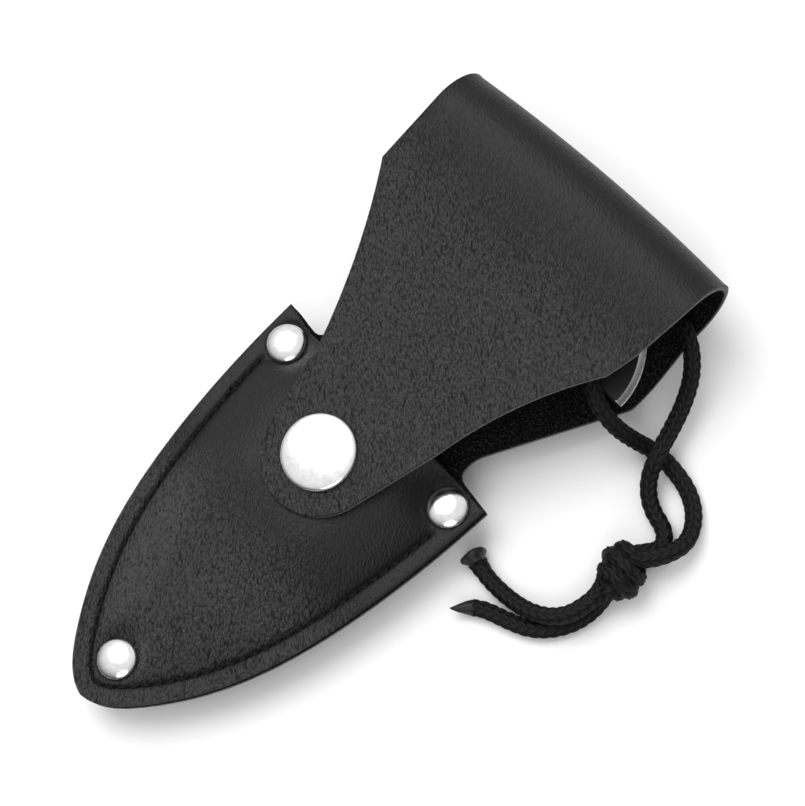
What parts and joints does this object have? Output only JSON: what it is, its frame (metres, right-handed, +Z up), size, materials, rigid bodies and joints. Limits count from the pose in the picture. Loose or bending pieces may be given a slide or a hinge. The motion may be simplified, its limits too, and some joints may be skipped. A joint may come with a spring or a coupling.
{
  "type": "sheathed hand axe",
  "caption": "Compact one-piece hand axe with a half-moon bit, held in a black leather snap-flap sheath with a belt loop and a knotted lanyard.",
  "frame": {"origin": "bottom centre of the sheathed tool, on the surface it lies on, without the lanyard", "axes": "+X across the sheath towards the lanyard, +Y from the pocket's point to the fold, +Z up out of the back panel"},
  "size_m": [0.1013, 0.1492, 0.026],
  "materials": {
    "leather": "semi-matte, fine grain",
    "thread": "twisted thread",
    "chrome": "polished",
    "spring_wire": "drawn wire",
    "coated_steel": "smooth black coating, bright ground edge",
    "cord": "braided"
  },
  "bodies": {
    "sheath": {"back_panel": "leather", "pocket_front": "leather", "flap_fold": "leather", "belt_loop": "leather", "seam_stitching_left": "thread", "seam_stitching_right": "thread", "belt_loop_stitching": "thread", "snap_stud": "chrome", "snap_post": "chrome", "rivet_cap_tip": "chrome", "rivet_post_tip": "chrome", "rivet_cap_left": "chrome", "rivet_post_left": "chrome", "rivet_cap_right": "chrome", "rivet_post_right": "chrome"},
    "flap": {"flap_panel": "leather", "snap_cap": "chrome", "snap_socket": "chrome", "snap_spring": "spring_wire"},
    "tool": {"hand_axe": "coated_steel", "lanyard_loop": "cord", "lanyard_knot": "cord", "lanyard_tail_melted": "cord", "lanyard_tail_cut": "cord"}
  },
  "joints": [
    {"name": "flap_hinge", "type": "hinge", "parent": "sheath", "child": "flap", "pos_m": [0, 0.0651, 0.0165], "axis": [-1, 0, 0], "range_deg": [0, 188], "deforming": ["flap_fold"]},
    {"name": "axe_slide", "type": "slide", "parent": "sheath", "child": "tool", "axis": [0, 0.9994, 0.0357], "range_m": [0, 0.1]}
  ]
}
